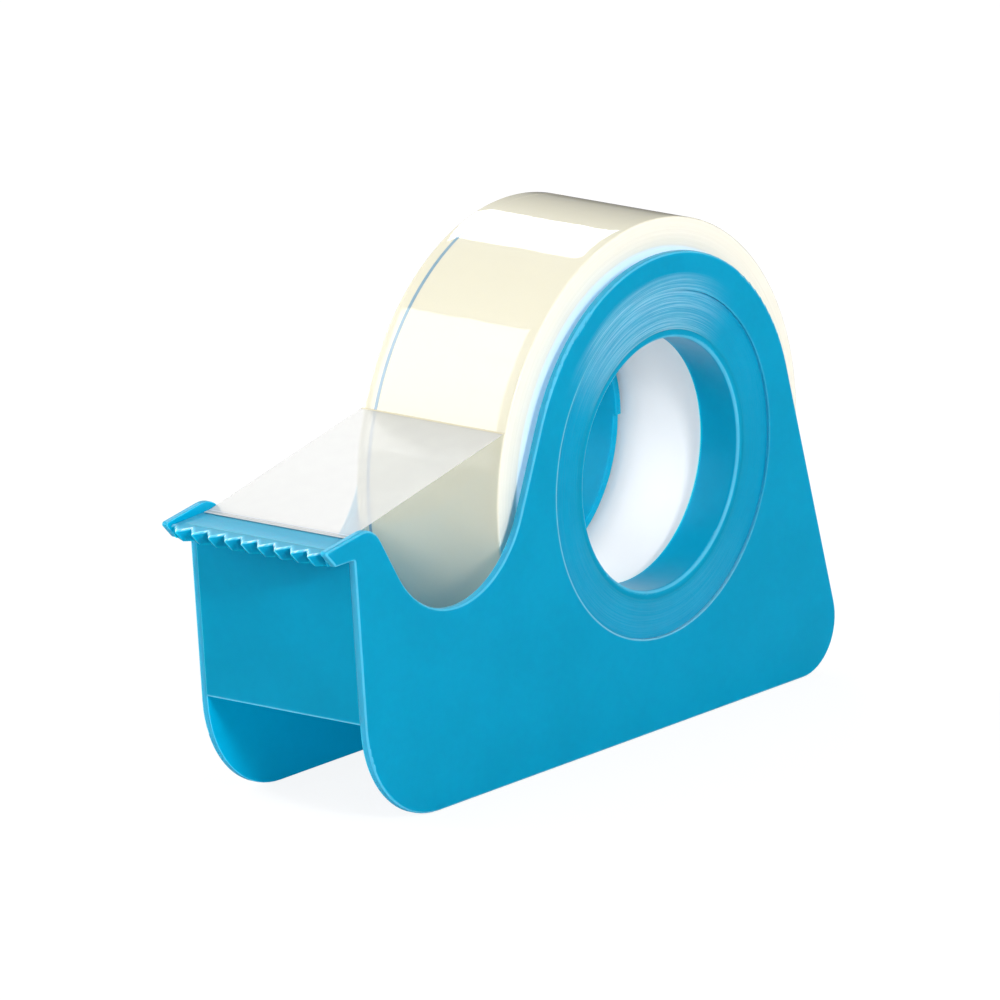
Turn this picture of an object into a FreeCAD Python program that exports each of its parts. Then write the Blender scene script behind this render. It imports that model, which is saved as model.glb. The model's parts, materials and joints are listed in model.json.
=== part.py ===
"""Small adhesive-tape dispenser: a U-shaped blue moulding that carries one roll of tape.

Frame: +X from the cutter to the back, +Y to the left of someone facing the cutter, +Z up.
Origin: the centre of the footprint, on the surface that the dispenser stands on.
All lengths are millimetres. "Forward" distances are measured from the hub axis towards -X.
"""
import FreeCAD, Part
import math
import os

Vector = FreeCAD.Vector

# ---- the roll of tape -------------------------------------------------------------------
TAPE_WIDTH = 19.0           # standard width of office tape
ROLL_RADIUS = 26.6          # outside of the wound tape, a full roll of about 30 m
ROLL_EDGE_ROUND = 0.25      # softened edge of the outermost turns
CORE_WALL = 1.3             # wall of the plastic core that the tape is wound on
CORE_EDGE_ROUND = 0.3

# ---- clearances -------------------------------------------------------------------------
CORE_PLAY = 0.3             # radial play of the core on the hub stubs
LEFT_SIDE_PLAY = 0.3        # the roll has slid towards the left plate
RIGHT_SIDE_PLAY = 1.1
FLOOR_GAP = 2.6             # from the standing surface to the bottom of a full roll
LEAD_PLAY = 0.1             # between the free tape and what it lies against

# ---- side plates ------------------------------------------------------------------------
PLATE_THICKNESS = 0.9
PLATE_OUTER_ROUND = 0.35    # rounding of the outline on the outside face
PLATE_INNER_ROUND = 0.15    # and on the inside face
ROLL_PROUD = 3.5            # how far a full roll stands out over the round head of a plate
HEEL_REACH = 7.5            # back of the foot behind the round head
HEEL_RADIUS = 5.8
TOE_RADIUS = 12.4
DIP_RADIUS = 12.0           # the finger dip between the roll and the cutter
DIP_SPREAD = 1.1            # space between the dip's circle and the round head
DIP_DEPTH = 10.65           # bottom of the dip under the land
HUMP_RADIUS = 3.6           # the small crest behind the cutter
HUMP_RUN = 16.1             # from the dip's centre forward to the crest's centre
CHEEK_RISE = 1.05           # crest above the land

# ---- hubs -------------------------------------------------------------------------------
HUB_BORE_RADIUS = 13.7
HUB_WALL = 0.9
HUB_LENGTH = 5.4            # end of the stub, measured from the outside of the plate
HUB_LIP_ROUND = 0.5
HUB_RIM_STEP = 0.4          # the lower half of the left stub's end is this much shorter
RECESS_RADIUS = 18.9        # the shallow round recess about each hub
RECESS_DEPTH = 0.3

# ---- front wall, land and saw -------------------------------------------------------------
LAND_HEIGHT = 32.25         # where the end of the tape sticks
LAND_DROP = 0.3             # fall of the land from its back edge to the saw's tips
LAND_BACK = 2.0             # back edge of the land behind the front of the wall
WALL_THICKNESS = 1.2
WALL_BOTTOM = 12.0          # the hand gap under the wall
NOSE_ROOT = 1.5             # front edge of the plate, forward of the crest, under the nose
NOSE_REACH = 6.5            # tip of the cheek forward of the crest
NOSE_TIP_RISE = 0.2         # the cheek's tip above the land
LAND_THICKNESS = 1.8        # land, saw and noses share one underside
NOSE_UNDERCUT = 1.6         # the nose is this much shorter at its underside
NOSE_ROUND = 0.3
NOSE_TIP_INSET = 0.45       # middle of the tip's rounding behind the sharp tip
SAW_REACH = 6.9             # tips of the teeth forward of the crest
NOTCH_COUNT = 10            # the cheeks hide a part of the first and of the last
FIRST_TIP_HIDDEN = 0.7      # the first tip would lie this far inside the left cheek
LAST_TIP_HIDDEN = 0.9       # and the tip after the last notch inside the right cheek
TOOTH_DEPTH = 1.55          # depth of the notches at the top
TOOTH_FOOT_DEPTH = 0.8      # and at the saw's underside
TOOTH_SHORT_SHARE = 0.4     # share of the pitch that the short flank takes
TOOTH_UNDERCUT = 1.35       # the tips lean out this far over the saw's underside
SAW_STRIP = 0.5             # solid strip behind the notches
NOTCH_OVERRUN = 0.3         # each cut runs past the saw by this share of its height
NOTCH_OPEN_END = 0.5        # and past the tips by this length

# ---- the free tape ------------------------------------------------------------------------
LIFT_OFF_DEGREES = 161.2    # where the tape leaves the roll, counted from +X over the top
FILM_THICKNESS = 0.1
STUCK_LENGTH = 0.9          # length of tape that lies on the land

# ---- how closely an edge must match to be picked for rounding --------------------------------
SAME_PLANE = 1e-4
SAME_RADIUS = 1e-3

# ---- worked out from the sizes above --------------------------------------------------------
INNER_WIDTH = TAPE_WIDTH + LEFT_SIDE_PLAY + RIGHT_SIDE_PLAY
INNER_FACE = INNER_WIDTH / 2
OUTER_FACE = INNER_FACE + PLATE_THICKNESS
ROLL_LEFT = INNER_FACE - LEFT_SIDE_PLAY
ROLL_RIGHT = -INNER_FACE + RIGHT_SIDE_PLAY
HUB_HEIGHT = ROLL_RADIUS + FLOOR_GAP
HEAD_RADIUS = ROLL_RADIUS - ROLL_PROUD
HUB_OUTER_RADIUS = HUB_BORE_RADIUS + HUB_WALL
CORE_BORE_RADIUS = HUB_OUTER_RADIUS + CORE_PLAY
CORE_OUTER_RADIUS = CORE_BORE_RADIUS + CORE_WALL
DIP_FORWARD = HEAD_RADIUS + DIP_RADIUS + DIP_SPREAD
DIP_CENTRE_HEIGHT = LAND_HEIGHT - DIP_DEPTH + DIP_RADIUS
CREST_FORWARD = DIP_FORWARD + HUMP_RUN
NOSE_TOP = LAND_HEIGHT + NOSE_TIP_RISE
NOSE_UNDERSIDE = LAND_HEIGHT - LAND_THICKNESS
BACK_REACH = HEAD_RADIUS + HEEL_REACH
TIP_FORWARD = CREST_FORWARD + SAW_REACH
HUB_X = (TIP_FORWARD - BACK_REACH) / 2
TOOTH_PITCH = (INNER_WIDTH + FIRST_TIP_HIDDEN + LAST_TIP_HIDDEN) / NOTCH_COUNT


def forward(distance):
    """X of a point that lies this far from the hub axis towards the cutter."""
    return HUB_X - distance


def tangent_points(first, second):
    """Ends of the straight run between two circles of a closed outline.

    A circle is (x, z, signed radius). The radius is positive where the outline bulges
    outwards and negative in a hollow. The outline runs anticlockwise.
    """
    run = math.hypot(second[0] - first[0], second[1] - first[1])
    bearing = math.atan2(second[1] - first[1], second[0] - first[0])
    heading = bearing - math.asin((second[2] - first[2]) / run)
    left = (-math.sin(heading), math.cos(heading))
    start = (first[0] - first[2] * left[0], first[1] - first[2] * left[1])
    end = (second[0] - second[2] * left[0], second[1] - second[2] * left[1])
    return start, end


def middle_of_arc(circle, start, end):
    """The point halfway round the arc from start to end, turning the way the sign says."""
    first = math.atan2(start[1] - circle[1], start[0] - circle[0])
    last = math.atan2(end[1] - circle[1], end[0] - circle[0])
    turn = (last - first) % (2 * math.pi)
    if circle[2] < 0:
        turn = turn - 2 * math.pi
    angle = first + turn / 2
    radius = abs(circle[2])
    return circle[0] + radius * math.cos(angle), circle[1] + radius * math.sin(angle)


def plate_circles():
    """The rounds of a side plate's outline, anticlockwise from the head."""
    head = (HUB_X, HUB_HEIGHT, HEAD_RADIUS)
    dip = (forward(DIP_FORWARD), DIP_CENTRE_HEIGHT, -DIP_RADIUS)
    crest = (forward(CREST_FORWARD), LAND_HEIGHT + CHEEK_RISE - HUMP_RADIUS, HUMP_RADIUS)
    tip_x = forward(CREST_FORWARD + NOSE_REACH)
    tip = (tip_x + NOSE_TIP_INSET, NOSE_TOP - NOSE_ROUND, NOSE_ROUND)
    chin = (tip_x + NOSE_UNDERCUT + NOSE_ROUND, NOSE_UNDERSIDE + NOSE_ROUND, NOSE_ROUND)
    root_x = forward(CREST_FORWARD + NOSE_ROOT)
    root = (root_x - NOSE_ROUND, NOSE_UNDERSIDE - NOSE_ROUND, -NOSE_ROUND)
    toe = (forward(CREST_FORWARD) + TOE_RADIUS, TOE_RADIUS, TOE_RADIUS)
    heel = (HUB_X + BACK_REACH - HEEL_RADIUS, HEEL_RADIUS, HEEL_RADIUS)
    return [head, dip, crest, tip, chin, root, toe, heel]


def front_edge():
    """The straight front edge of a plate, from under the nose down to the toe."""
    circles = plate_circles()
    return tangent_points(circles[5], circles[6])


def outline_face(circles, y):
    """A flat face at this y, bounded by the circles and the straight runs between them."""
    count = len(circles)
    runs = [tangent_points(circles[i], circles[(i + 1) % count]) for i in range(count)]
    edges = []
    for i in range(count):
        arc_start = runs[i - 1][1]
        arc_end = runs[i][0]
        middle = middle_of_arc(circles[i], arc_start, arc_end)
        points = [Vector(x, y, z) for x, z in (arc_start, middle, arc_end)]
        edges.append(Part.Arc(*points).toShape())
        run_start = Vector(runs[i][0][0], y, runs[i][0][1])
        run_end = Vector(runs[i][1][0], y, runs[i][1][1])
        edges.append(Part.makeLine(run_start, run_end))
    return Part.Face(Part.Wire(edges))


def polygon_prism(corners, y_low, y_high):
    """A prism along Y over a polygon of (x, z) corners."""
    points = [Vector(x, y_low, z) for x, z in corners]
    points.append(points[0])
    return Part.Face(Part.makePolygon(points)).extrude(Vector(0, y_high - y_low, 0))


def hub_cylinder(radius, y_low, y_high):
    """A cylinder on the hub axis."""
    base = Vector(HUB_X, y_low, HUB_HEIGHT)
    return Part.makeCylinder(radius, y_high - y_low, base, Vector(0, 1, 0))


def hub_ring(inner_radius, outer_radius, y_low, y_high):
    """A plain ring about the hub axis."""
    solid = hub_cylinder(outer_radius, y_low, y_high)
    return solid.cut(hub_cylinder(inner_radius, y_low, y_high))


def edges_at(shape, y, radius=None):
    """Edges that lie in the plane of this y; with a radius, only the circle of that radius."""
    found = []
    for edge in shape.Edges:
        box = edge.BoundBox
        if abs(box.YMin - y) > SAME_PLANE or abs(box.YMax - y) > SAME_PLANE:
            continue
        if radius is not None and abs(box.XLength / 2 - radius) > SAME_RADIUS:
            continue
        found.append(edge)
    return found


def mirrored(shape):
    """The left-hand twin of a right-hand piece."""
    return shape.mirror(Vector(0, 0, 0), Vector(0, 1, 0))


def right_side_plate():
    """One flat cheek of the moulding, with its head, finger dip, crest, nose and foot."""
    plate = outline_face(plate_circles(), -OUTER_FACE).extrude(Vector(0, PLATE_THICKNESS, 0))
    plate = plate.makeFillet(PLATE_OUTER_ROUND, edges_at(plate, -OUTER_FACE))
    plate = plate.makeFillet(PLATE_INNER_ROUND, edges_at(plate, -INNER_FACE))
    plate = plate.cut(hub_cylinder(RECESS_RADIUS, -OUTER_FACE, -OUTER_FACE + RECESS_DEPTH))
    return plate.cut(hub_cylinder(HUB_OUTER_RADIUS, -OUTER_FACE, -INNER_FACE))


def right_hub():
    """The stub tube that carries the core, with a rounded mouth."""
    mouth = -OUTER_FACE + RECESS_DEPTH
    end = -OUTER_FACE + HUB_LENGTH
    tube = hub_ring(HUB_BORE_RADIUS, HUB_OUTER_RADIUS, mouth, end)
    return tube.makeFillet(HUB_LIP_ROUND, edges_at(tube, mouth, HUB_BORE_RADIUS))


def left_hub():
    """The other stub. The lower half of its inner end stops a little short."""
    end = OUTER_FACE - HUB_LENGTH
    corner = Vector(HUB_X - HUB_OUTER_RADIUS, end, HUB_HEIGHT - HUB_OUTER_RADIUS)
    lower_half = Part.makeBox(2 * HUB_OUTER_RADIUS, HUB_RIM_STEP, HUB_OUTER_RADIUS, corner)
    return mirrored(right_hub()).cut(lower_half)


def wall_face_x(height):
    """X of the wall's front at this height: it lies flush with the plates' front edges."""
    top, bottom = front_edge()
    share = (height - bottom[1]) / (top[1] - bottom[1])
    return bottom[0] + share * (top[0] - bottom[0])


def front_wall():
    """The wall that ties the two plates together under the land."""
    corners = [(wall_face_x(WALL_BOTTOM), WALL_BOTTOM),
               (wall_face_x(WALL_BOTTOM) + WALL_THICKNESS, WALL_BOTTOM),
               (wall_face_x(NOSE_UNDERSIDE) + WALL_THICKNESS, NOSE_UNDERSIDE),
               (wall_face_x(NOSE_UNDERSIDE), NOSE_UNDERSIDE)]
    return polygon_prism(corners, -INNER_FACE, INNER_FACE)


def land_back_x():
    """X of the land's back edge, a set distance behind the front of the wall's top."""
    return wall_face_x(NOSE_UNDERSIDE) + LAND_BACK


def land_z(x):
    """Height of the land's top: it falls evenly from its back edge to the saw's tips."""
    back = land_back_x()
    return LAND_HEIGHT - LAND_DROP * (back - x) / (back - forward(TIP_FORWARD))


def saw_root_x():
    """X of the line where the saw's solid strip meets the land."""
    deepest = max(TOOTH_DEPTH, TOOTH_UNDERCUT + TOOTH_FOOT_DEPTH)
    return forward(TIP_FORWARD) + deepest + SAW_STRIP


def cutter_land():
    """The shelf over the wall, where the end of the tape waits."""
    back = land_back_x()
    front = saw_root_x()
    corners = [(front, NOSE_UNDERSIDE), (back, NOSE_UNDERSIDE),
               (back, land_z(back)), (front, land_z(front))]
    return polygon_prism(corners, -INNER_FACE, INNER_FACE)


def notch_section(tip_y, share):
    """Outline of one notch at this share of the way down from the tips to the underside."""
    tip_z = land_z(forward(TIP_FORWARD))
    z = tip_z + share * (NOSE_UNDERSIDE - tip_z)
    mouth = forward(TIP_FORWARD) + share * TOOTH_UNDERCUT
    root = mouth + TOOTH_DEPTH + share * (TOOTH_FOOT_DEPTH - TOOTH_DEPTH)
    root_y = tip_y - TOOTH_SHORT_SHARE * TOOTH_PITCH
    next_y = tip_y - TOOTH_PITCH
    open_end = mouth - NOTCH_OPEN_END
    points = [Vector(open_end, tip_y, z), Vector(mouth, tip_y, z), Vector(root, root_y, z),
              Vector(mouth, next_y, z), Vector(open_end, next_y, z), Vector(open_end, tip_y, z)]
    return Part.makePolygon(points)


def notch(tip_y):
    """The V cut between one tooth and the next one to its right. It leans and gets shallower."""
    over = notch_section(tip_y, -NOTCH_OVERRUN)
    under = notch_section(tip_y, 1 + NOTCH_OVERRUN)
    return Part.makeLoft([over, under], True, True)


def saw_edge():
    """The moulded saw: its first tip and the tip after its last notch are hidden in the cheeks."""
    tip_x = forward(TIP_FORWARD)
    root = saw_root_x()
    corners = [(tip_x, land_z(tip_x)), (tip_x + TOOTH_UNDERCUT, NOSE_UNDERSIDE),
               (root, NOSE_UNDERSIDE), (root, land_z(root))]
    bar = polygon_prism(corners, -INNER_FACE, INNER_FACE)
    for index in range(NOTCH_COUNT):
        bar = bar.cut(notch(INNER_FACE + FIRST_TIP_HIDDEN - index * TOOTH_PITCH))
    return bar


def core():
    """The plain plastic ring inside the roll."""
    ring = hub_ring(CORE_BORE_RADIUS, CORE_OUTER_RADIUS, ROLL_RIGHT, ROLL_LEFT)
    rims = edges_at(ring, ROLL_RIGHT, CORE_BORE_RADIUS) + edges_at(ring, ROLL_LEFT, CORE_BORE_RADIUS)
    return ring.makeFillet(CORE_EDGE_ROUND, rims)


def tape_roll():
    """The wound tape, as one solid ring on the core."""
    ring = hub_ring(CORE_OUTER_RADIUS, ROLL_RADIUS, ROLL_RIGHT, ROLL_LEFT)
    rims = edges_at(ring, ROLL_RIGHT, ROLL_RADIUS) + edges_at(ring, ROLL_LEFT, ROLL_RADIUS)
    return ring.makeFillet(ROLL_EDGE_ROUND, rims)


def lead_path():
    """Underside of the free tape, from the roll to its cut end on the land."""
    angle = math.radians(LIFT_OFF_DEGREES)
    reach = ROLL_RADIUS + LEAD_PLAY
    start = (HUB_X + reach * math.cos(angle), HUB_HEIGHT + reach * math.sin(angle))
    back = land_back_x()
    end = back - STUCK_LENGTH
    return [start, (back, land_z(back) + LEAD_PLAY), (end, land_z(end) + LEAD_PLAY)]


def tape_lead():
    """The strip of tape between the roll and the land, ready to be pulled."""
    under = lead_path()
    over = [(x, z + FILM_THICKNESS) for x, z in reversed(under)]
    return polygon_prism(under + over, ROLL_RIGHT, ROLL_LEFT)


def main():
    """Make every piece and write each one to its own file."""
    os.makedirs("parts", exist_ok=True)
    plate = right_side_plate()
    pieces = {
        "right_side_plate": plate,
        "left_side_plate": mirrored(plate),
        "right_hub": right_hub(),
        "left_hub": left_hub(),
        "front_wall": front_wall(),
        "cutter_land": cutter_land(),
        "saw_edge": saw_edge(),
        "core": core(),
        "tape_roll": tape_roll(),
        "tape_lead": tape_lead(),
    }
    for name, shape in pieces.items():
        shape.exportStep(os.path.join("parts", name + ".step"))
        print(name, "volume", round(shape.Volume, 2), "valid", shape.isValid(), "solids", len(shape.Solids))


main()
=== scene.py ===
# %% [markdown]
# # A small tape dispenser
# The real thing is one thin blue moulding, a white plastic core and a roll of clear tape.
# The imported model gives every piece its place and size. This lesson puts the looks around
# that model: it keeps the pieces whose shape is already right and only gives them a finish,
# and it makes new surfaces where the real piece has detail that a plain solid lacks.

# %% The frame
import bpy
import json
import math
import numpy as np
from mathutils import Matrix, Vector


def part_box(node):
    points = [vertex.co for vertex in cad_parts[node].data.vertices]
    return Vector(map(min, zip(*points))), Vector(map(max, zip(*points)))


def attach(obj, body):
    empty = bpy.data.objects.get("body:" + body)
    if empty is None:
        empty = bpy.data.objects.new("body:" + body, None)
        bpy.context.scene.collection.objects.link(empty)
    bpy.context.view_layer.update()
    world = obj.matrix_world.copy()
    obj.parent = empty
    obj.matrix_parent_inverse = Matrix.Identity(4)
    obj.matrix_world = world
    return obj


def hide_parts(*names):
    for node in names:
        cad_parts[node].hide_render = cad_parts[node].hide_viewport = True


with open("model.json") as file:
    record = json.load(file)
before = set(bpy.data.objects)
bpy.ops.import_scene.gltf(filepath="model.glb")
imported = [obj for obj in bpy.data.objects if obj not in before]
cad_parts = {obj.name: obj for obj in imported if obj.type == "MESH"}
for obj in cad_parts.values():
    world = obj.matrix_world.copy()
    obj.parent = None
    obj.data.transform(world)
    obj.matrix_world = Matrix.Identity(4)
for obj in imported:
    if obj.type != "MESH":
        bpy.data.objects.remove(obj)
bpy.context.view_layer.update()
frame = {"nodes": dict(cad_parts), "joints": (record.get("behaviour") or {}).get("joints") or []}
MM = 0.001

# %% [markdown]
# ## Where things are
# The hub axis is the centre of everything round here. Its place is the roll's own hinge.
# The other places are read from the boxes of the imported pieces, so that nothing is fitted
# by eye.

# %% Places
hub_joint = [joint for joint in frame["joints"] if joint["name"] == "roll_spin"][0]
HUB = Vector(hub_joint["pos_m"])
roll_low, roll_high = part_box("tape_roll")
core_low, core_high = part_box("core")
saw_low, saw_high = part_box("saw_edge")
lead_low, lead_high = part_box("tape_lead")
roll_radius = (roll_high.x - roll_low.x) / 2
core_radius = (core_high.x - core_low.x) / 2
print("hub", [round(c / MM, 2) for c in HUB], "roll radius", round(roll_radius / MM, 2), "mm")

# %% [markdown]
# ## A helper that turns a grid of points into a skin
# Most new pieces are a closed profile carried along a path: a grid whose rows are the
# profile's points and whose columns follow the path. One function makes the faces for all
# of them. It also works out the volume that the faces enclose. A negative volume means
# that the faces look inwards, so the function turns them round.

# %% Grid to mesh
def grid_faces(columns, rows, path_closed):
    """Quads between neighbouring columns and rows. The rows always close on themselves."""
    last = columns if path_closed else columns - 1
    c, r = np.meshgrid(np.arange(last), np.arange(rows), indexing="ij")
    here, ahead, r_next = c * rows, (c + 1) % columns * rows, (r + 1) % rows
    quads = np.stack([here + r, ahead + r, ahead + r_next, here + r_next], -1)
    return quads.reshape(-1, 4)


def enclosed_volume(points, faces):
    """A sixth of the sum of a . (b x c) over triangles fanned from each face's first corner."""
    total = 0.0
    for k in range(1, faces.shape[1] - 1):
        a, b, c = points[faces[:, 0]], points[faces[:, k]], points[faces[:, k + 1]]
        total += float(np.einsum("ij,ij->i", a, np.cross(b, c)).sum()) / 6
    return total


def skin(name, grid, path_closed=False, edge_light=None, crease_degrees=35):
    """A closed mesh over grid[column, row] = (x, y, z). An open path gets flat end caps."""
    columns, rows, _ = grid.shape
    points = grid.reshape(-1, 3)
    quads = grid_faces(columns, rows, path_closed)
    caps = []
    if not path_closed:
        first = np.arange(rows)
        caps = [first, (first + (columns - 1) * rows)[::-1]]
    volume = enclosed_volume(points, quads)
    for cap in caps:
        volume += enclosed_volume(points, cap[None, :])
    if volume < 0:
        quads = quads[:, ::-1]
        caps = [cap[::-1] for cap in caps]
    faces = quads.tolist() + [cap.tolist() for cap in caps]
    mesh = bpy.data.meshes.new(name)
    mesh.from_pydata(points.tolist(), [], faces)
    mesh.polygons.foreach_set("use_smooth", np.ones(len(faces), bool))
    mesh.set_sharp_from_angle(angle=math.radians(crease_degrees))
    if edge_light is not None:
        layer = mesh.attributes.new("edge_light", "FLOAT", "POINT")
        layer.data.foreach_set("value", edge_light.reshape(-1).astype(np.float32))
    piece = bpy.data.objects.new(name, mesh)
    bpy.context.scene.collection.objects.link(piece)
    print(name, len(points), "points,", len(faces), "faces,", round(abs(volume) / MM**3, 1), "mm3")
    return piece


# %% [markdown]
# ## The camera
# The dispenser is seen from its cutter's end, a little from above, through a very long
# lens: the two side plates look parallel. The camera therefore stands far away.

# %% Camera
CAMERA_AZIMUTH = math.radians(-52.426)
CAMERA_ELEVATION = math.radians(14.917)
CAMERA_ROLL = 0.01276
CAMERA_DISTANCE = 2.3
CAMERA_TARGET = Vector((-0.06, 0.0, 26.756)) * MM
SENSOR = 36.0
NEAREST_SEEN, FARTHEST_SEEN = 0.1, 50.0
VIEW_WIDTH = 1000 / 9.3736 * MM

backward = Vector((math.sin(CAMERA_AZIMUTH) * math.cos(CAMERA_ELEVATION),
                   -math.cos(CAMERA_AZIMUTH) * math.cos(CAMERA_ELEVATION),
                   math.sin(CAMERA_ELEVATION)))
level = Vector((math.cos(CAMERA_AZIMUTH), math.sin(CAMERA_AZIMUTH), 0))
upward = backward.cross(level)
cosine, sine = math.cos(CAMERA_ROLL), math.sin(CAMERA_ROLL)
camera_right = cosine * level - sine * upward
camera_up = sine * level + cosine * upward

camera_data = bpy.data.cameras.new("camera")
camera_data.sensor_width = SENSOR
camera_data.lens = SENSOR * CAMERA_DISTANCE / VIEW_WIDTH
camera_data.clip_start, camera_data.clip_end = NEAREST_SEEN, FARTHEST_SEEN
camera = bpy.data.objects.new("camera", camera_data)
axes = Matrix((camera_right, camera_up, backward)).transposed().to_4x4()
camera.matrix_world = Matrix.Translation(CAMERA_TARGET + CAMERA_DISTANCE * backward) @ axes
bpy.context.scene.collection.objects.link(camera)
bpy.context.scene.camera = camera
print("lens", round(camera_data.lens, 1), "mm")

# %% [markdown]
# ## Light, floor and colour
# A thing on a white sweep is lit mostly by the room's even light. Mirrored rays see a
# dimmer room, as if dark cards stood round the set, so that the lamps stand out in the
# gloss. The "Standard" transform keeps the moulding's colour strong.

# %% Room and floor
scene = bpy.context.scene
scene.view_settings.view_transform = "Standard"
ROOM_LIGHT = 0.46
CARD_LIGHT = 0.25
world = bpy.data.worlds.new("room")
scene.world = world
world.use_nodes = True
room_nodes, room_links = world.node_tree.nodes, world.node_tree.links
room_nodes["Background"].inputs["Color"].default_value = (1, 1, 1, 1)
seen = room_nodes.new("ShaderNodeLightPath")
for_gloss = room_nodes.new("ShaderNodeMapRange")
for_gloss.inputs["To Min"].default_value = ROOM_LIGHT
for_gloss.inputs["To Max"].default_value = CARD_LIGHT
room_links.new(seen.outputs["Is Glossy Ray"], for_gloss.inputs["Value"])
strength = room_nodes.new("ShaderNodeMapRange")
strength.inputs["To Max"].default_value = 1.0
room_links.new(seen.outputs["Is Camera Ray"], strength.inputs["Value"])
room_links.new(for_gloss.outputs["Result"], strength.inputs["To Min"])
room_links.new(strength.outputs["Result"], room_nodes["Background"].inputs["Strength"])

floor_mesh = bpy.data.meshes.new("floor")
FLOOR_HALF = 4.0
FLOOR_DROP = 0.02 * MM
signs = [(-1, -1), (1, -1), (1, 1), (-1, 1)]
corners = [(x * FLOOR_HALF, y * FLOOR_HALF, -FLOOR_DROP) for x, y in signs]
floor_mesh.from_pydata(corners, [], [(0, 1, 2, 3)])
floor = bpy.data.objects.new("floor", floor_mesh)
scene.collection.objects.link(floor)
print("floor", 2 * FLOOR_HALF, "m wide, room light", ROOM_LIGHT)


# %% [markdown]
# ## Lamps
# A small key light from the front gives the side plate's clear shadow on the roll. A shiny
# roll mirrors what stands on its far side, so the band boxes stand there: one draws the
# white band near the top, and four in a row draw the band in front. Their angles are places
# on the roll, counted from +X over the top. Three larger boxes soften the shades from the
# back right, from above and from the left. A lamp's power is the brightness of its surface
# times pi times its area.

# %% Lamps
BOX_DISTANCE = 1.0
BAND_WIDTH = 0.12
FRONT_BOX_SPAN = 8.5


def soft_box(name, direction, distance, width, height, brightness):
    """A rectangular lamp that faces the object. Brightness is the radiance of its surface."""
    data = bpy.data.lights.new(name, "AREA")
    data.shape = "RECTANGLE"
    data.size, data.size_y = width, height
    data.energy = brightness * math.pi * width * height
    lamp = bpy.data.objects.new(name, data)
    toward = Vector(direction).normalized()
    lamp.location = HUB + toward * distance
    lamp.rotation_mode = "QUATERNION"
    lamp.rotation_quaternion = toward.to_track_quat("Z", "Y")
    lamp.visible_camera = False
    scene.collection.objects.link(lamp)
    return lamp


def mirrored_by_roll(degrees):
    """Where a ray from the camera goes after the roll's skin mirrors it at this angle from +X."""
    angle = math.radians(degrees)
    normal = Vector((math.cos(angle), 0, math.sin(angle)))
    return 2 * normal.dot(backward) * normal - backward


def band_box(name, first_degrees, last_degrees, brightness):
    """A soft box that the roll mirrors between two angles, so that it draws one white band."""
    first, last = mirrored_by_roll(first_degrees), mirrored_by_roll(last_degrees)
    middle = (first + last).normalized()
    height = 2 * BOX_DISTANCE * math.tan(first.angle(last) / 2)
    lamp = soft_box(name, middle, BOX_DISTANCE, BAND_WIDTH, height, brightness)
    across = middle.cross(first - last).normalized()
    lengthwise = middle.cross(across).normalized()
    lamp_axes = Matrix((across, lengthwise, across.cross(lengthwise))).transposed()
    lamp.rotation_quaternion = lamp_axes.to_quaternion()


soft_box("key_light", (-1.0, -2.4, 1.2), 0.8, 0.13, 0.13, 80.0)
band_box("top_box", 99.6, 113.3, 7.0)
for first_degrees in (136.0, 144.5, 153.0, 161.5):
    band_box("front_box", first_degrees, first_degrees + FRONT_BOX_SPAN, 4.5)
soft_box("side_box", (0.76, -0.62, 0.22), BOX_DISTANCE, 0.20, 0.17, 3.0)
soft_box("overhead_box", (0.05, 0.1, 1.0), BOX_DISTANCE, 0.5, 0.5, 2.0)
soft_box("left_box", (-0.3, 1.0, 0.25), BOX_DISTANCE, 0.5, 0.5, 10.0)


# %% [markdown]
# ## A short hand for materials
# A finish is a graph of small nodes. The helper below adds a node, fills in its numbers and
# links whatever is a socket, so that each material further on reads as a few sentences.

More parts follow.
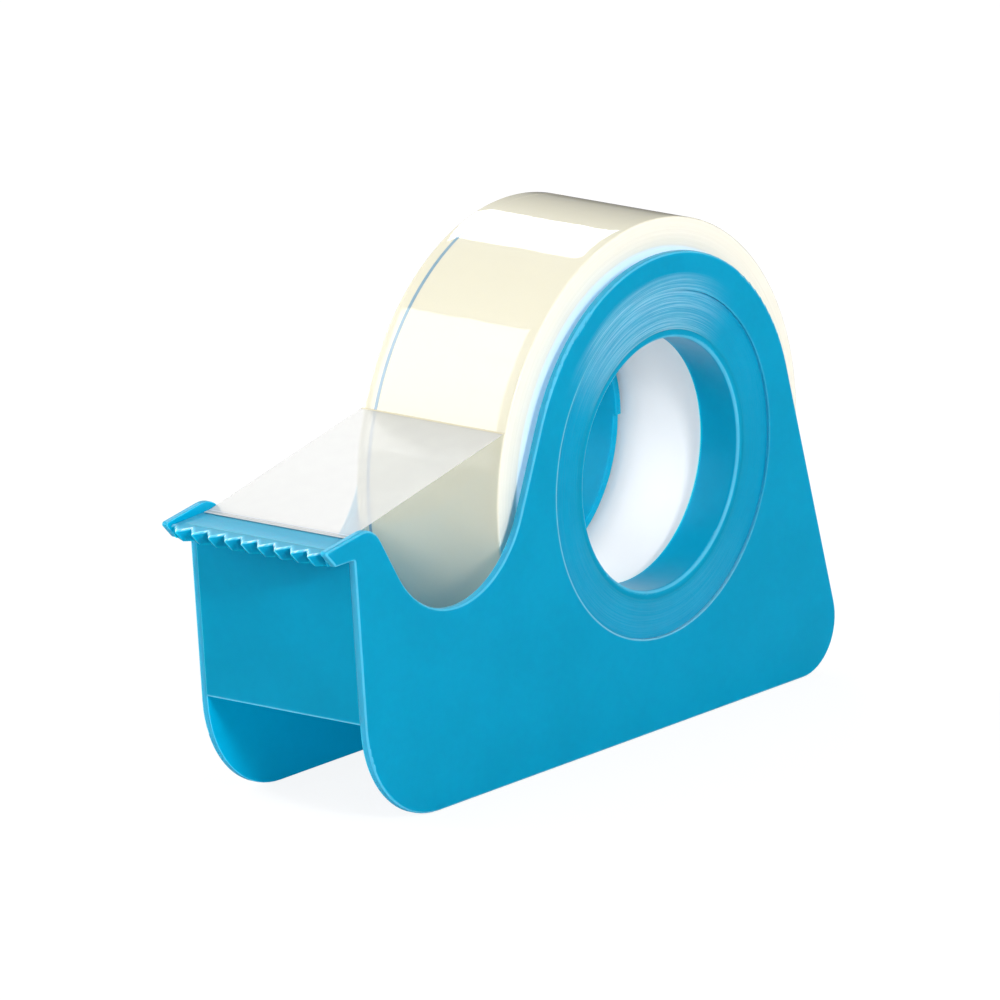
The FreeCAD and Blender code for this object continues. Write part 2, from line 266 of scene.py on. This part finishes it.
# %% Node helper
class Finish:
    """One material under construction. Every call returns the new node's first output."""

    def __init__(self, name):
        self.material = bpy.data.materials.new(name)
        self.material.use_nodes = True
        self.tree = self.material.node_tree
        self.shader = self.tree.nodes["Principled BSDF"]
        self.place = self.add("ShaderNodeTexCoord", output="Object")

    def add(self, kind, output=0, settings=(), **inputs):
        """Adds a node. Inputs go by their label, with _ for a space, or by place: in0, in1."""
        node = self.tree.nodes.new(kind)
        for key, value in dict(settings).items():
            setattr(node, key, value)
        for key, value in inputs.items():
            by_place = key[:2] == "in" and key[2:].isdigit()
            self.feed(node.inputs[int(key[2:]) if by_place else key.replace("_", " ")], value)
        return node.outputs[output]

    def feed(self, socket, value):
        """Links a socket to another one, or sets its own number."""
        if isinstance(value, bpy.types.NodeSocket):
            self.tree.links.new(value, socket)
        else:
            socket.default_value = value

    def math(self, operation, first, second=0.0):
        """Arithmetic on one or two numbers."""
        settings = {"operation": operation}
        return self.add("ShaderNodeMath", settings=settings, in0=first, in1=second)

    def times(self, first, second):
        """A product."""
        return self.math("MULTIPLY", first, second)

    def split(self, vector):
        """The x, y and z of a vector."""
        node = self.tree.nodes.new("ShaderNodeSeparateXYZ")
        self.feed(node.inputs[0], vector)
        return node.outputs

    def facing_y(self):
        """How far the surface faces along Y, from -1 to 1."""
        return self.split(self.add("ShaderNodeTexCoord", output="Normal"))[1]

    def ramp(self, value, low, high, to_low=0.0, to_high=1.0):
        """A smooth step of value from low to high."""
        settings = {"interpolation_type": "SMOOTHSTEP"}
        return self.add("ShaderNodeMapRange", settings=settings, Value=value,
                        From_Min=low, From_Max=high, To_Min=to_low, To_Max=to_high)

    def blend(self, share, first, second):
        """A colour between two colours."""
        settings = {"data_type": "RGBA"}
        return self.add("ShaderNodeMix", output=2, settings=settings,
                        in0=share, in6=first, in7=second)

    def noise(self, where, scale, detail=2.0, roughness=0.5):
        """Cloudy noise from 0 to 1."""
        return self.add("ShaderNodeTexNoise", Vector=where, Scale=scale,
                        Detail=detail, Roughness=roughness)

    def bump(self, height, distance, after=None):
        """A small relief: height 1 stands out by distance."""
        given = {"Height": height, "Distance": distance}
        if after is not None:
            given["Normal"] = after
        return self.add("ShaderNodeBump", **given)

    def set(self, **inputs):
        """Sets or links inputs of the shader itself."""
        for key, value in inputs.items():
            self.feed(self.shader.inputs[key.replace("_", " ")], value)


def wear(piece, finish):
    """Gives a piece this one finish in its first slot."""
    if piece.data.materials:
        piece.data.materials[0] = finish.material
    else:
        piece.data.materials.append(finish.material)


# %% [markdown]
# ## The floor's finish
# A plain sweep. To the camera it shines almost white by itself and takes little shade, so
# that only a faint contact shadow is left. To mirrored rays it is dark, so it stays out of
# the gloss. To all other rays it is nearly white and throws light back on the object.

# %% Floor finish
FLOOR_GREY = (0.9, 0.9, 0.9, 1)
SEEN_GREY = (0.14, 0.14, 0.14, 1)
FLOOR_GLOW = 0.88
floor_finish = Finish("pale_floor")
camera_ray = floor_finish.add("ShaderNodeLightPath", output="Is Camera Ray")
gloss_ray = floor_finish.add("ShaderNodeLightPath", output="Is Glossy Ray")
seen_or_mirrored = floor_finish.math("MAXIMUM", camera_ray, gloss_ray)
floor_finish.set(Base_Color=floor_finish.blend(seen_or_mirrored, FLOOR_GREY, SEEN_GREY),
                 Roughness=0.9, Specular_IOR_Level=0.1, Emission_Color=(1, 1, 1, 1),
                 Emission_Strength=floor_finish.times(camera_ray, FLOOR_GLOW))
wear(floor, floor_finish)
print("floor glow to the camera", FLOOR_GLOW)


# %% [markdown]
# ## The moulding's plastic
# The moulding is a satin blue plastic. Its faces are faintly mottled. Its rounded edges and
# the narrow rim of each side plate are painted paler: a painted highlight. The plastic has
# some subsurface light, and the inner face of each plate gets a faint blue emission, a
# painted glow for the light that comes through from outside. Round each hub the plate keeps
# the turning marks of the mould: fine rings that end in a ragged border. A pale sector on
# the rings towards the top, a fainter one at the bottom and a pale line on part of the
# recess's edge are painted highlights. The rings come from noise that changes fast with the
# distance from the hub axis and slowly with the direction. The direction goes in as a unit
# vector, because an angle would leave a seam.

# %% Moulding finish
DEEP_BLUE = (0.0, 0.275, 0.455, 1)
# Painted highlights: the pale blue of rounded edges, the pale sector on the turning marks and the
# white on the saw's cut edge.
EDGE_HIGHLIGHT_BLUE = (0.19, 0.62, 0.84, 1)
MARKS_HIGHLIGHT = (0.26, 0.52, 0.66, 1)
TIP_HIGHLIGHT_WHITE = (0.62, 0.80, 0.90, 1)
# Strength of the painted glow, an emission on the inner faces of the side plates.
INNER_GLOW = 0.4
RECESS_RADIUS = 18.9 * MM
MARKS_REACH = 20.6 * MM
RIM_FROM = 19.6 * MM
# How much painted highlight the rim of each side plate gets.
RIM_HIGHLIGHT = 0.22
# Directions from the hub of the painted highlights: the sector on the rings, a faint one below,
# and the line on the recess's edge.
SECTOR_HIGHLIGHT_TOWARD = math.radians(99)
FAINT_HIGHLIGHT_TOWARD = math.radians(-100)
EDGE_HIGHLIGHT_TOWARD = math.radians(-130)
MOTTLE_SCALE, CLOUD_SCALE = 900.0, 90.0
MARKS_FAST, MARKS_SLOW = 9000.0, 1.6
MOTTLE_DEPTH, MARKS_DEPTH = 0.006 * MM, 0.03 * MM


def about_hub(finish):
    """The distance from the hub axis, and the unit direction from it as (east, north)."""
    x, _, z = finish.split(finish.place)
    dx, dz = finish.math("SUBTRACT", x, HUB.x), finish.math("SUBTRACT", z, HUB.z)
    squares = finish.math("ADD", finish.times(dx, dx), finish.times(dz, dz))
    distance = finish.math("SQRT", squares)
    return distance, (finish.math("DIVIDE", dx, distance), finish.math("DIVIDE", dz, distance))


def ring_place(finish, distance, direction, fast, slow):
    """A vector for ring-shaped noise: fast outwards, slow round the axis."""
    east, north = direction
    return finish.add("ShaderNodeCombineXYZ", in0=finish.times(east, slow),
                      in1=finish.times(north, slow), in2=finish.times(distance, fast))


def along(finish, direction, angle):
    """How well a unit direction agrees with an angle from +X: the cosine between them."""
    east, north = direction
    return finish.math("ADD", finish.times(east, math.cos(angle)),
                       finish.times(north, math.sin(angle)))


def turning_marks(finish, colour, relief, on_face, distance, direction):
    """Adds fine rings with a ragged border, and painted highlights on them and the edge."""
    where = ring_place(finish, distance, direction, MARKS_FAST, MARKS_SLOW)
    marks = finish.noise(where, 1.0, 4.0, 0.65)
    in_recess = finish.ramp(distance, RECESS_RADIUS + 0.05 * MM, RECESS_RADIUS - 0.05 * MM)
    ragged = finish.math("ADD", distance, finish.times(marks, 1.6 * MM))
    inside = finish.ramp(ragged, MARKS_REACH + 1.2 * MM, MARKS_REACH + 0.4 * MM)
    # Painted highlight: a pale sector on the rings towards the top. Outside the recess the rings
    # show only there.
    toward_light = finish.ramp(along(finish, direction, SECTOR_HIGHLIGHT_TOWARD), 0.6, 1.0)
    zone = finish.math("MAXIMUM", in_recess, finish.times(inside, toward_light))
    amount = finish.times(zone, on_face)
    relief = finish.bump(finish.times(marks, amount), MARKS_DEPTH, after=relief)
    # A fainter painted highlight on the rings towards the bottom.
    faint = finish.ramp(along(finish, direction, FAINT_HIGHLIGHT_TOWARD), 0.2, 0.95, 0.02, 0.10)
    sector = finish.math("ADD", finish.times(toward_light, 0.8), faint)
    streaks = finish.ramp(marks, 0.40, 0.66, 0.25, 1.0)
    pale = finish.times(finish.times(sector, streaks), amount)
    colour = finish.blend(pale, colour, MARKS_HIGHLIGHT)
    # Painted highlight: a pale line on part of the recess's edge.
    past_edge = finish.math("SUBTRACT", distance, RECESS_RADIUS + 0.06 * MM)
    on_line = finish.ramp(finish.math("ABSOLUTE", past_edge), 0.14 * MM, 0.05 * MM)
    lit = finish.ramp(along(finish, direction, EDGE_HIGHLIGHT_TOWARD), -0.5, 0.5, 0.1, 0.55)
    return finish.blend(finish.times(on_line, lit), colour, MARKS_HIGHLIGHT), relief


def moulding_finish(name, with_rings=False, with_edge_highlight=True):
    """Satin blue plastic, with or without turning marks and painted highlights on edges."""
    finish = Finish(name)
    mottle = finish.noise(finish.place, MOTTLE_SCALE, 3.0, 0.6)
    cloud = finish.noise(finish.place, CLOUD_SCALE)
    mixed = finish.math("ADD", finish.times(mottle, 0.5), cloud)
    body = finish.add("ShaderNodeVectorMath", settings={"operation": "SCALE"},
                      in0=DEEP_BLUE[:3], Scale=finish.ramp(mixed, 0.5, 1.0, 0.96, 1.04))
    facing = finish.facing_y()
    square = finish.times(facing, facing)
    marked = finish.add("ShaderNodeAttribute", output="Fac",
                        settings={"attribute_name": "edge_light"})
    edge = marked
    if with_edge_highlight:
        # Painted highlight on rounded edges, where the normal turns away from the plate's face.
        rounded = finish.times(finish.times(square, finish.math("SUBTRACT", 1.0, square)), 4.0)
        edge = finish.math("MAXIMUM", finish.ramp(rounded, 0.25, 0.9, 0.0, 0.45), marked)
    if with_rings:
        distance, direction = about_hub(finish)
        # Painted highlight on the narrow rim of each side plate.
        far_out = finish.ramp(distance, RIM_FROM, RIM_FROM + 0.2 * MM)
        rim = finish.times(finish.ramp(square, 0.3, 0.02), far_out)
        edge = finish.math("MAXIMUM", edge, finish.times(rim, RIM_HIGHLIGHT))
    colour = finish.blend(edge, body, EDGE_HIGHLIGHT_BLUE)
    # White painted highlight where the attribute is strongest: the saw's cut edge and tips.
    colour = finish.blend(finish.ramp(marked, 0.72, 1.0), colour, TIP_HIGHLIGHT_WHITE)
    relief = finish.bump(mottle, MOTTLE_DEPTH)
    if with_rings:
        on_face = finish.ramp(square, 0.9, 0.99)
        colour, relief = turning_marks(finish, colour, relief, on_face, distance, direction)
    # Painted glow: a faint blue emission on the plates' inner faces, for light coming through the
    # plastic.
    inward = finish.times(finish.split(finish.place)[1], facing)
    glow = finish.times(finish.ramp(inward, -4 * MM, -8 * MM), INNER_GLOW)
    finish.set(Base_Color=colour, Roughness=0.3, Specular_IOR_Level=0.15,
               Specular_Tint=(0.35, 0.8, 1, 1), Normal=relief,
               Subsurface_Weight=0.6, Subsurface_Radius=(0.1, 1.0, 1.0),
               Subsurface_Scale=1.6 * MM, Emission_Color=DEEP_BLUE, Emission_Strength=glow)
    return finish


plate_finish = moulding_finish("moulding_with_turning_marks", with_rings=True)
hub_finish = moulding_finish("moulding_of_hubs")
plain_finish = moulding_finish("moulding", with_edge_highlight=False)
for node in ("right_side_plate", "left_side_plate"):
    wear(frame["nodes"][node], plate_finish)
for node in ("right_hub", "left_hub"):
    wear(frame["nodes"][node], hub_finish)
print("turning marks on both side plates")


# %% [markdown]
# ## Wall and land
# The wall under the cutter and the land over it are plain slabs with softly rounded long
# edges. Each slab's section is read from the imported node: its corners, in order round their
# middle. Every corner is then replaced by a short arc, and the section runs from plate to
# plate. Points on an arc carry the attribute "edge_light", which the plastic shows paler as
# a painted highlight. The land's top carries a weaker painted highlight in the same way.

# %% Rounded slabs
ARC_POINTS = 5
SLAB_PLACES = 12
WALL_ROUND, LAND_ROUND = 0.3 * MM, 0.12 * MM
# How strongly the painted highlights show on the rounded arcs and on the land's top.
ARC_HIGHLIGHT, LAND_TOP_HIGHLIGHT = 0.8, 0.34
TOP_BAND = 0.4 * MM


def section_corners(node):
    """The corners (x, z) of a convex prism along Y, anticlockwise round their middle."""
    mesh = frame["nodes"][node].data
    points = np.zeros(len(mesh.vertices) * 3)
    mesh.vertices.foreach_get("co", points)
    flat = np.unique(np.round(points.reshape(-1, 3)[:, [0, 2]], 6), axis=0)
    around = flat - flat.mean(0)
    return flat[np.argsort(np.arctan2(around[:, 1], around[:, 0]))]


def rounded_section(corners, radius):
    """Each corner becomes an arc that touches both sides: a quadratic curve about the corner."""
    points, marks = [], []
    t = np.linspace(0, 1, ARC_POINTS)[:, None]
    for i, corner in enumerate(corners):
        before, after = corners[i - 1] - corner, corners[(i + 1) % len(corners)] - corner
        start = corner + before / np.linalg.norm(before) * radius
        end = corner + after / np.linalg.norm(after) * radius
        points.append((1 - t) ** 2 * start + 2 * t * (1 - t) * corner + t**2 * end)
        marks.append(np.sin(np.pi * t[:, 0]))
    return np.concatenate(points), np.concatenate(marks)


def prism_grid(section, ys):
    """grid[place across the width, place round the section]: a section (x, z) along Y."""
    grid = np.zeros((len(ys), len(section), 3))
    grid[..., 0], grid[..., 2] = section[:, 0], section[:, 1]
    grid[..., 1] = ys[:, None]
    return grid


def slab(name, node, radius, top_highlight=0.0):
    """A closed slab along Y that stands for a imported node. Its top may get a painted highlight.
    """
    section, marks = rounded_section(section_corners(node), radius)
    on_top = section[:, 1] > section[:, 1].max() - TOP_BAND
    marks = np.maximum(marks * ARC_HIGHLIGHT, np.where(on_top, top_highlight, 0.0))
    low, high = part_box(node)
    grid = prism_grid(section, np.linspace(low.y, high.y, SLAB_PLACES))
    piece = skin(name, grid, edge_light=np.broadcast_to(marks, grid.shape[:2]))
    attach(piece, "housing")
    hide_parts(node)
    wear(piece, plain_finish)


print("wall corners", np.round(section_corners("front_wall") / MM, 2).tolist())
print("land corners", np.round(section_corners("cutter_land") / MM, 2).tolist())
slab("wall_under_land", "front_wall", WALL_ROUND)
slab("land", "cutter_land", LAND_ROUND, LAND_TOP_HIGHLIGHT)


# %% [markdown]
# ## The saw
# The teeth are moulded with the land, not a steel strip. Seen from above the edge is a
# zigzag with one short and one long flank. The front of the teeth leans back towards the
# underside, and the notches get shallower on the way down. So the section at each place
# across the width is the same handful of points: the zigzag moves the upper ones by its
# full depth and the lower ones by its depth at the foot. The attribute "edge_light" paints
# a pale, partly white highlight along the cut edge, strongest at the tips, with fainter
# lines down from each tip; the top carries on the land's painted highlight.

# %% Saw
NOTCHES = 10
FIRST_TIP_HIDDEN = 0.7 * MM
LAST_TIP_HIDDEN = 0.9 * MM
SHORT_SHARE = 0.4
DEPTH_AT_TOP = 1.55 * MM
DEPTH_AT_FOOT = 0.8 * MM
UNDERCUT = 1.35 * MM
BURR = 0.19 * MM
RIDGE_HALF = 0.07 * MM
PLACES_ACROSS = 121
CUT_WANDER = 0.09
TIP_SHARE = 0.12

first_tip = saw_high.y + FIRST_TIP_HIDDEN
saw_pitch = (saw_high.y - saw_low.y + FIRST_TIP_HIDDEN + LAST_TIP_HIDDEN) / NOTCHES
tips = first_tip - saw_pitch * np.arange(NOTCHES + 1)
roots = tips[:-1] - SHORT_SHARE * saw_pitch
across = np.linspace(saw_high.y, saw_low.y, PLACES_ACROSS)
places = np.concatenate([across, tips, tips - RIDGE_HALF, tips + RIDGE_HALF, roots])
places = places[(places <= saw_high.y) & (places >= saw_low.y)]
ys = np.unique(np.round(places, 8))[::-1]
within = ((first_tip - ys) / saw_pitch) % 1.0
within = np.where(within > 1 - 1e-4, 0.0, within)
short_flank, long_flank = within / SHORT_SHARE, (1 - within) / (1 - SHORT_SHARE)
zigzag = np.where(within < SHORT_SHARE, short_flank, long_flank)
front = saw_low.x + DEPTH_AT_TOP * zigzag
foot = saw_low.x + UNDERCUT + DEPTH_AT_FOOT * zigzag
land_low, land_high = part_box("cutter_land")
land_slope = (land_high.z - saw_high.z) / (land_high.x - land_low.x)


def saw_top(x):
    """Height of the saw's top, which carries on the slope of the land."""
    return saw_high.z - land_slope * (saw_high.x - x)


draw = np.random.default_rng(11)
# Random strength of the painted highlight along the saw's cut edge.
cut_glint = draw.uniform(0.5, 1.0, len(ys))
front = front + draw.uniform(0.0, CUT_WANDER, len(ys)) * MM * (zigzag > 0.05)
back = np.full_like(ys, saw_high.x)
floor_z = np.full_like(ys, saw_low.z)
saw_rows = [(back, saw_top(back)),
            (front + 4 * BURR, saw_top(front + 4 * BURR)),
            (front + BURR, saw_top(front + BURR)),
            (front, saw_top(front) - 0.6 * BURR),
            (front, saw_top(front) - 1.3 * BURR),
            (foot, floor_z), (back, floor_z)]
saw_grid = np.stack([np.stack([x, ys, z], -1) for x, z in saw_rows], 1)
at_tip = np.exp(-(zigzag / TIP_SHARE) ** 2)
ridge = (zigzag < 1e-3).astype(float)
# Painted highlights carried by edge_light: the land's top, the cut edge and tips, and fainter
# lines down from each tip.
on_land = np.full_like(ys, LAND_TOP_HIGHLIGHT)
marks = [on_land, on_land, 0.6 + 0.4 * cut_glint, np.maximum(cut_glint, at_tip),
         0.5 * ridge, 0.25 * ridge, np.zeros_like(ys)]
saw = skin("saw_teeth", saw_grid, edge_light=np.stack(marks, 1), crease_degrees=20)
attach(saw, "housing")
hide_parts("saw_edge")
wear(saw, plain_finish)
print("pitch", round(saw_pitch / MM, 3), "mm, tips at", np.round(tips / MM, 2).tolist())


# %% [markdown]
# ## The core
# The core is a plain ring of milky plastic with some subsurface light. It also gets a faint,
# slightly blue emission: a painted glow for the light that soaks into it from the whole roll.
# Its imported shape is right, and it only needs the finish.

# %% Core finish
CORE_SHADES = (0.78, 0.785, 0.80, 1), (0.82, 0.825, 0.835, 1)
# Strength of the core's painted glow, a faint bluish emission.
CORE_GLOW = 0.04
core_finish = Finish("milky_core")
core_cloud = core_finish.noise(core_finish.place, 120.0)
core_grain = core_finish.noise(core_finish.place, 500.0)
core_finish.set(Base_Color=core_finish.blend(core_cloud, *CORE_SHADES), Roughness=0.42,
                Subsurface_Weight=0.25, Subsurface_Radius=(1, 1, 1),
                Subsurface_Scale=1.5 * MM, Emission_Color=(0.93, 0.97, 1.0, 1),
                Emission_Strength=CORE_GLOW, Normal=core_finish.bump(core_grain, 0.01 * MM))
wear(frame["nodes"]["core"], core_finish)
print("core glow", CORE_GLOW)


# %% [markdown]
# ## The wound tape
# A roll is one ribbon wound many times, so its sides show fine rings that drift outwards as
# a spiral, and its outside steps up by one thickness where the ribbon leaves it. The section
# is a closed loop: up one side, over the outside and down the other. The ripple on the sides
# is a cosine of the number of turns, less the share of a turn already made, which is what
# makes it a spiral. Its height changes slowly from turn to turn.

# %% Wound tape
TURN_GROUP = 0.52 * MM
RIPPLE = 0.014 * MM
RIM_ROUND = 0.25 * MM
PLACES_ROUND = 240
SIDE_POINTS = 120
BEND_POINTS = 7
OUTSIDE_POINTS = 14
SKIN_DROP = 0.02 * MM
SIDE_MARGIN = 0.07 * MM
LIFT_OFF = math.radians(161.2)
SPIRAL_STEP = 0.05 * MM
LOOSE_GROUPS = 40
rng = np.random.default_rng(7)
loose_turns = rng.uniform(0.25, 1.0, LOOSE_GROUPS)


def ripple(radius, turn):
    """How far a side face is sunk at this radius, after this share of a turn."""
    groups = (radius - core_radius) / TURN_GROUP - turn
    amount = np.interp(groups % LOOSE_GROUPS, np.arange(LOOSE_GROUPS), loose_turns)
    return RIPPLE * amount * (0.5 + 0.5 * np.cos(2 * np.pi * groups))


def round_the_roll():
    """Angles round the hub axis as a column, and the share of a turn since lift-off."""
    angles = np.linspace(0, 2 * np.pi, PLACES_ROUND, endpoint=False)[:, None]
    return angles, ((angles - LIFT_OFF) / (2 * np.pi)) % 1.0


def swept(angles, r, y):
    """grid[angle, place on the section]: distances r from the hub axis, at y along it."""
    return np.stack([HUB.x + r * np.cos(angles), y, HUB.z + r * np.sin(angles)], -1)


def wound_tape_grid():
    """The tape's section: up the right side, over the outside and down the left side."""
    angles, turn = round_the_roll()
    outside = roll_radius - SKIN_DROP - SPIRAL_STEP * turn
    side_height = roll_radius - RIM_ROUND - SIDE_MARGIN - core_radius
    up = core_radius + np.linspace(0, 1, SIDE_POINTS) * side_height
    bend = np.linspace(0, np.pi / 2, BEND_POINTS)
    bend_r = outside - RIM_ROUND * (1 - np.sin(bend))
    bend_y = np.broadcast_to(RIM_ROUND * (1 - np.cos(bend)), bend_r.shape)
    flat = np.linspace(roll_low.y + RIM_ROUND, roll_high.y - RIM_ROUND, OUTSIDE_POINTS)[1:-1]
    flat_y = np.broadcast_to(flat, (PLACES_ROUND, len(flat)))
    flat_r = np.broadcast_to(outside, flat_y.shape)
    side_sunk = ripple(up, turn)
    side_r = np.broadcast_to(up, side_sunk.shape)
    r = np.concatenate([side_r, bend_r, flat_r, bend_r[:, ::-1], side_r[:, ::-1]], 1)
    y = np.concatenate([roll_low.y + side_sunk, roll_low.y + bend_y, flat_y,
                        roll_high.y - bend_y[:, ::-1], roll_high.y - side_sunk[:, ::-1]], 1)
    return swept(angles, r, y)


wound = skin("wound_tape", wound_tape_grid(), path_closed=True, crease_degrees=60)
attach(wound, "roll")
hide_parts("tape_roll")

# %% [markdown]
# Clear film looks like water in one layer and like cream in two hundred. Light goes in, is
# scattered and comes out close by, so the finish has some subsurface light, and a thin hard
# gloss on top that mirrors the lamps. The gloss is the coat, and its roughness is low. The
# sides, where the cut edges of the film show, are paler than the outside. Within a plate's
# reach the sides get a painted blue-grey shadow of the plate and a faint blue emission, a
# painted glow for light from the blue plastic.

# %% Wound tape finish
PLATE_REACH = 23.1 * MM
# Colour of the painted shadow of the plate on the roll's sides, also its painted glow.
BLUE_SHADE = (0.50, 0.66, 0.80, 1)
OUTSIDE_CREAM = (0.73, 0.70, 0.55, 1)
SIDE_CREAMS = (0.87, 0.825, 0.71, 1), (0.92, 0.875, 0.765, 1)
TURNS_FAST, TURNS_SLOW = 14000.0, 1.0
# How strongly the sides within the plate's reach take the painted shadow and the painted blue
# glow.
PLATE_SHADOW_SHARE, PLATE_BOUNCE_GLOW = 0.6, 0.45
tape_finish = Finish("wound_clear_tape")
tape_distance, tape_direction = about_hub(tape_finish)
turns_place = ring_place(tape_finish, tape_distance, tape_direction, TURNS_FAST, TURNS_SLOW)
turns_seen = tape_finish.noise(turns_place, 1.0, 3.0, 0.6)
side_cream = tape_finish.blend(tape_finish.ramp(turns_seen, 0.3, 0.7), *SIDE_CREAMS)
tape_facing = tape_finish.facing_y()
toward_side = tape_finish.times(tape_facing, tape_facing)
cream = tape_finish.blend(toward_side, OUTSIDE_CREAM, side_cream)
near_plate = tape_finish.ramp(tape_distance, PLATE_REACH + 0.5 * MM, PLATE_REACH)
beside_plate = tape_finish.times(toward_side, near_plate)
cream = tape_finish.blend(tape_finish.times(beside_plate, PLATE_SHADOW_SHARE), cream, BLUE_SHADE)
tape_grain = tape_finish.noise(tape_finish.place, 260.0)
tape_finish.set(Base_Color=cream, Roughness=0.45, Specular_IOR_Level=0.4,
                Subsurface_Weight=0.12, Subsurface_Radius=(1.0, 0.9, 0.6),
                Subsurface_Scale=1.2 * MM, Emission_Color=BLUE_SHADE,
                Emission_Strength=tape_finish.times(beside_plate, PLATE_BOUNCE_GLOW),
                Coat_Weight=1.0, Coat_Roughness=0.04, Coat_IOR=1.5,
                Normal=tape_finish.bump(turns_seen, 0.008 * MM),
                Coat_Normal=tape_finish.bump(tape_grain, 0.02 * MM))
wear(wound, tape_finish)
print("plate reaches", round(PLATE_REACH / MM, 1), "mm from the hub axis")


# %% [markdown]
# ## The seam in the roll
# The inner turns were wound a little away from the left edge. Their edge shows through the
# clear outer turns as a thin grey-blue ring, which fades out where the turns lie tight. It
# is made as a very thin flat hoop that stands a hundredth of a millimetre over the wound
# tape's outside, so that it is seen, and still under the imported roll's radius.

# %% Seam ring
SEAM_Y = 8.3 * MM
SEAM_WIDTH = 0.38 * MM
SEAM_THICKNESS = 0.05 * MM
SEAM_DROP = 0.008 * MM
SEAM_TOWARD = math.radians(150)
SEAM_TONES = (0.16, 0.32, 0.43, 1), (0.30, 0.42, 0.52, 1)


def band_grid(radius, thickness, y_low, y_high):
    """A flat hoop: a small rectangle swept about the hub axis."""
    angles, turn = round_the_roll()
    outer = radius - SPIRAL_STEP * turn
    r = np.concatenate([outer - thickness, outer, outer, outer - thickness], 1)
    y = np.broadcast_to(np.array([y_low, y_low, y_high, y_high]), r.shape)
    return swept(angles, r, y)


seam_grid = band_grid(roll_radius - SEAM_DROP, SEAM_THICKNESS,
                      SEAM_Y - SEAM_WIDTH / 2, SEAM_Y + SEAM_WIDTH / 2)
seam = skin("inner_turns_edge", seam_grid, path_closed=True)
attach(seam, "roll")
seam_finish = Finish("edge_of_inner_turns")
seam_tone = seam_finish.noise(seam_finish.place, 400.0)
seam_direction = about_hub(seam_finish)[1]
seam_shown = seam_finish.ramp(along(seam_finish, seam_direction, SEAM_TOWARD), 0.62, 0.78)
seam_colour = seam_finish.blend(seam_tone, *SEAM_TONES)
seam_finish.set(Base_Color=seam_finish.blend(seam_shown, OUTSIDE_CREAM, seam_colour),
                Roughness=0.4, Coat_Weight=1.0, Coat_Roughness=0.04)
wear(seam, seam_finish)


# %% [markdown]
# ## The free tape
# Between the roll and the land the tape is one clear layer under slight tension. It is flat
# along its run, bends over the land's back edge and sticks on the land. The film is a thin
# closed sheet: its underside is carried across the width, and its top lies a film's
# thickness above.

# %% Free tape
FILM = 0.06 * MM
RUN_PLACES, STUCK_PLACES = 24, 5
WIDTH_PLACES = 24
NEAR_START, NEAR_END = 0.5 * MM, 0.05 * MM


def lead_path():
    """Underside of the strip as (x, z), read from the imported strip's own corners."""
    corners = section_corners("tape_lead")
    at_start = corners[:, 0] > lead_high.x - NEAR_START
    at_end = corners[:, 0] < lead_low.x + NEAR_END
    groups = (corners[at_start], corners[~(at_start | at_end)], corners[at_end])
    return [group[np.argmin(group[:, 1])] for group in groups]


def film_grid():
    """The film's section goes out along the underside and comes back on top."""
    start, kink, end = lead_path()
    t = np.linspace(0, 1, RUN_PLACES)[:, None]
    s = np.linspace(0, 1, STUCK_PLACES)[1:, None]
    under = np.concatenate([start + t * (kink - start), kink + s * (end - kink)])
    section = np.concatenate([under, under[::-1] + np.array([0, FILM])])
    return prism_grid(section, np.linspace(lead_low.y, lead_high.y, WIDTH_PLACES))


film = skin("free_tape", film_grid(), crease_degrees=30)
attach(film, "lead")
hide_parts("tape_lead")

# %% [markdown]
# One layer of film has a soft haze that covers nearly half of what lies behind it. Where it
# leaves the roll the edge of the turn below shows as a yellowish line. At the cut end the
# bruised film is denser, and a grey line behind it is the edge of the part that sticks.

# %% Film finish
HAZE_COVER = 0.44, 0.49
LINE_COVER = 0.85
FILM_GREY = (0.72, 0.72, 0.705, 1)
LIFT_YELLOW = (0.74, 0.68, 0.50, 1)
STICK_GREY = (0.62, 0.66, 0.72, 1)
film_finish = Finish("clear_film")
haze = film_finish.noise(film_finish.place, 150.0)
film_x = film_finish.split(film_finish.place)[0]


def line_across(middle, half_width):
    """1 on a narrow line across the film at this x, else 0."""
    away = film_finish.math("ABSOLUTE", film_finish.math("SUBTRACT", film_x, middle))
    return film_finish.ramp(away, half_width * 1.3, half_width * 0.7)


lift_line = line_across(lead_high.x - 0.15 * MM, 0.15 * MM)
cut_line = line_across(lead_low.x + 0.10 * MM, 0.14 * MM)
stick_line = line_across(lead_low.x + 0.9 * MM, 0.10 * MM)
film_colour = film_finish.blend(lift_line, FILM_GREY, LIFT_YELLOW)
film_colour = film_finish.blend(stick_line, film_colour, STICK_GREY)
drawn = film_finish.math("MAXIMUM", lift_line, cut_line)
drawn = film_finish.math("MAXIMUM", drawn, stick_line)
cover = film_finish.math("MAXIMUM", film_finish.ramp(haze, 0.2, 0.8, *HAZE_COVER),
                         film_finish.times(drawn, LINE_COVER))
film_finish.set(Base_Color=film_colour, Roughness=0.3, Specular_IOR_Level=0.1, Alpha=cover)
wear(film, film_finish)
print("film covers", HAZE_COVER, "of what lies behind it")
